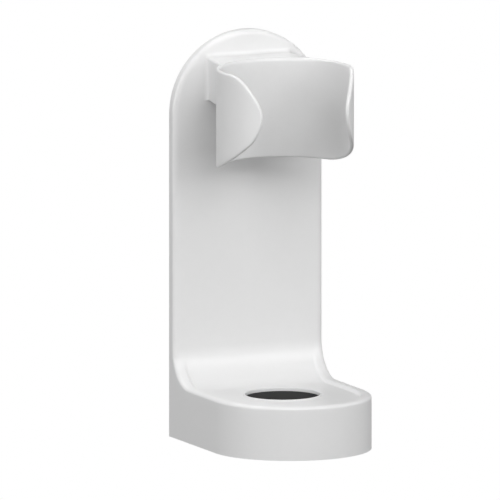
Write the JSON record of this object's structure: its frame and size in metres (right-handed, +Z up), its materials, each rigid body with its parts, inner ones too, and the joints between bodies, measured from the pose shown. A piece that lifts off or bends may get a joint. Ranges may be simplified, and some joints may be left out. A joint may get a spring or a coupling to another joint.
{
  "type": "hair dryer holder",
  "caption": "Wall-hung hair dryer holder: arched back plate, D-shaped tray with a round hole, and a C-shaped clip that grips the barrel.",
  "frame": {"origin": "centre of the wall fixing, on the wall plane", "axes": "+Z up, +Y into the wall, so the front of the holder looks along -Y, +X to the viewer's right"},
  "size_m": [0.09, 0.1085, 0.225],
  "materials": {
    "shell_plastic": "fine moulded satin",
    "clip_plastic": "fine moulded satin",
    "cover_plastic": "moulded satin",
    "bracket_plastic": "moulded satin",
    "cup_rubber": "matt silicone",
    "bumper_rubber": "matt rubber",
    "pad_foam": "foam tape",
    "screw_steel": "zinc plated"
  },
  "bodies": {
    "wall_fixing": {"wall_bracket": "bracket_plastic", "adhesive_pad": "pad_foam"},
    "holder": {"front_shell": "shell_plastic", "clip_band": "clip_plastic", "clip_screws": "screw_steel", "seat_cup": "cup_rubber", "bottom_cover": "cover_plastic", "cover_screws": "screw_steel", "wall_bumpers": "bumper_rubber"}
  },
  "joints": [
    {"name": "lift_off", "type": "slide", "parent": "wall_fixing", "child": "holder", "axis": [0, 0, 1], "range_m": [0, 0.015]}
  ]
}
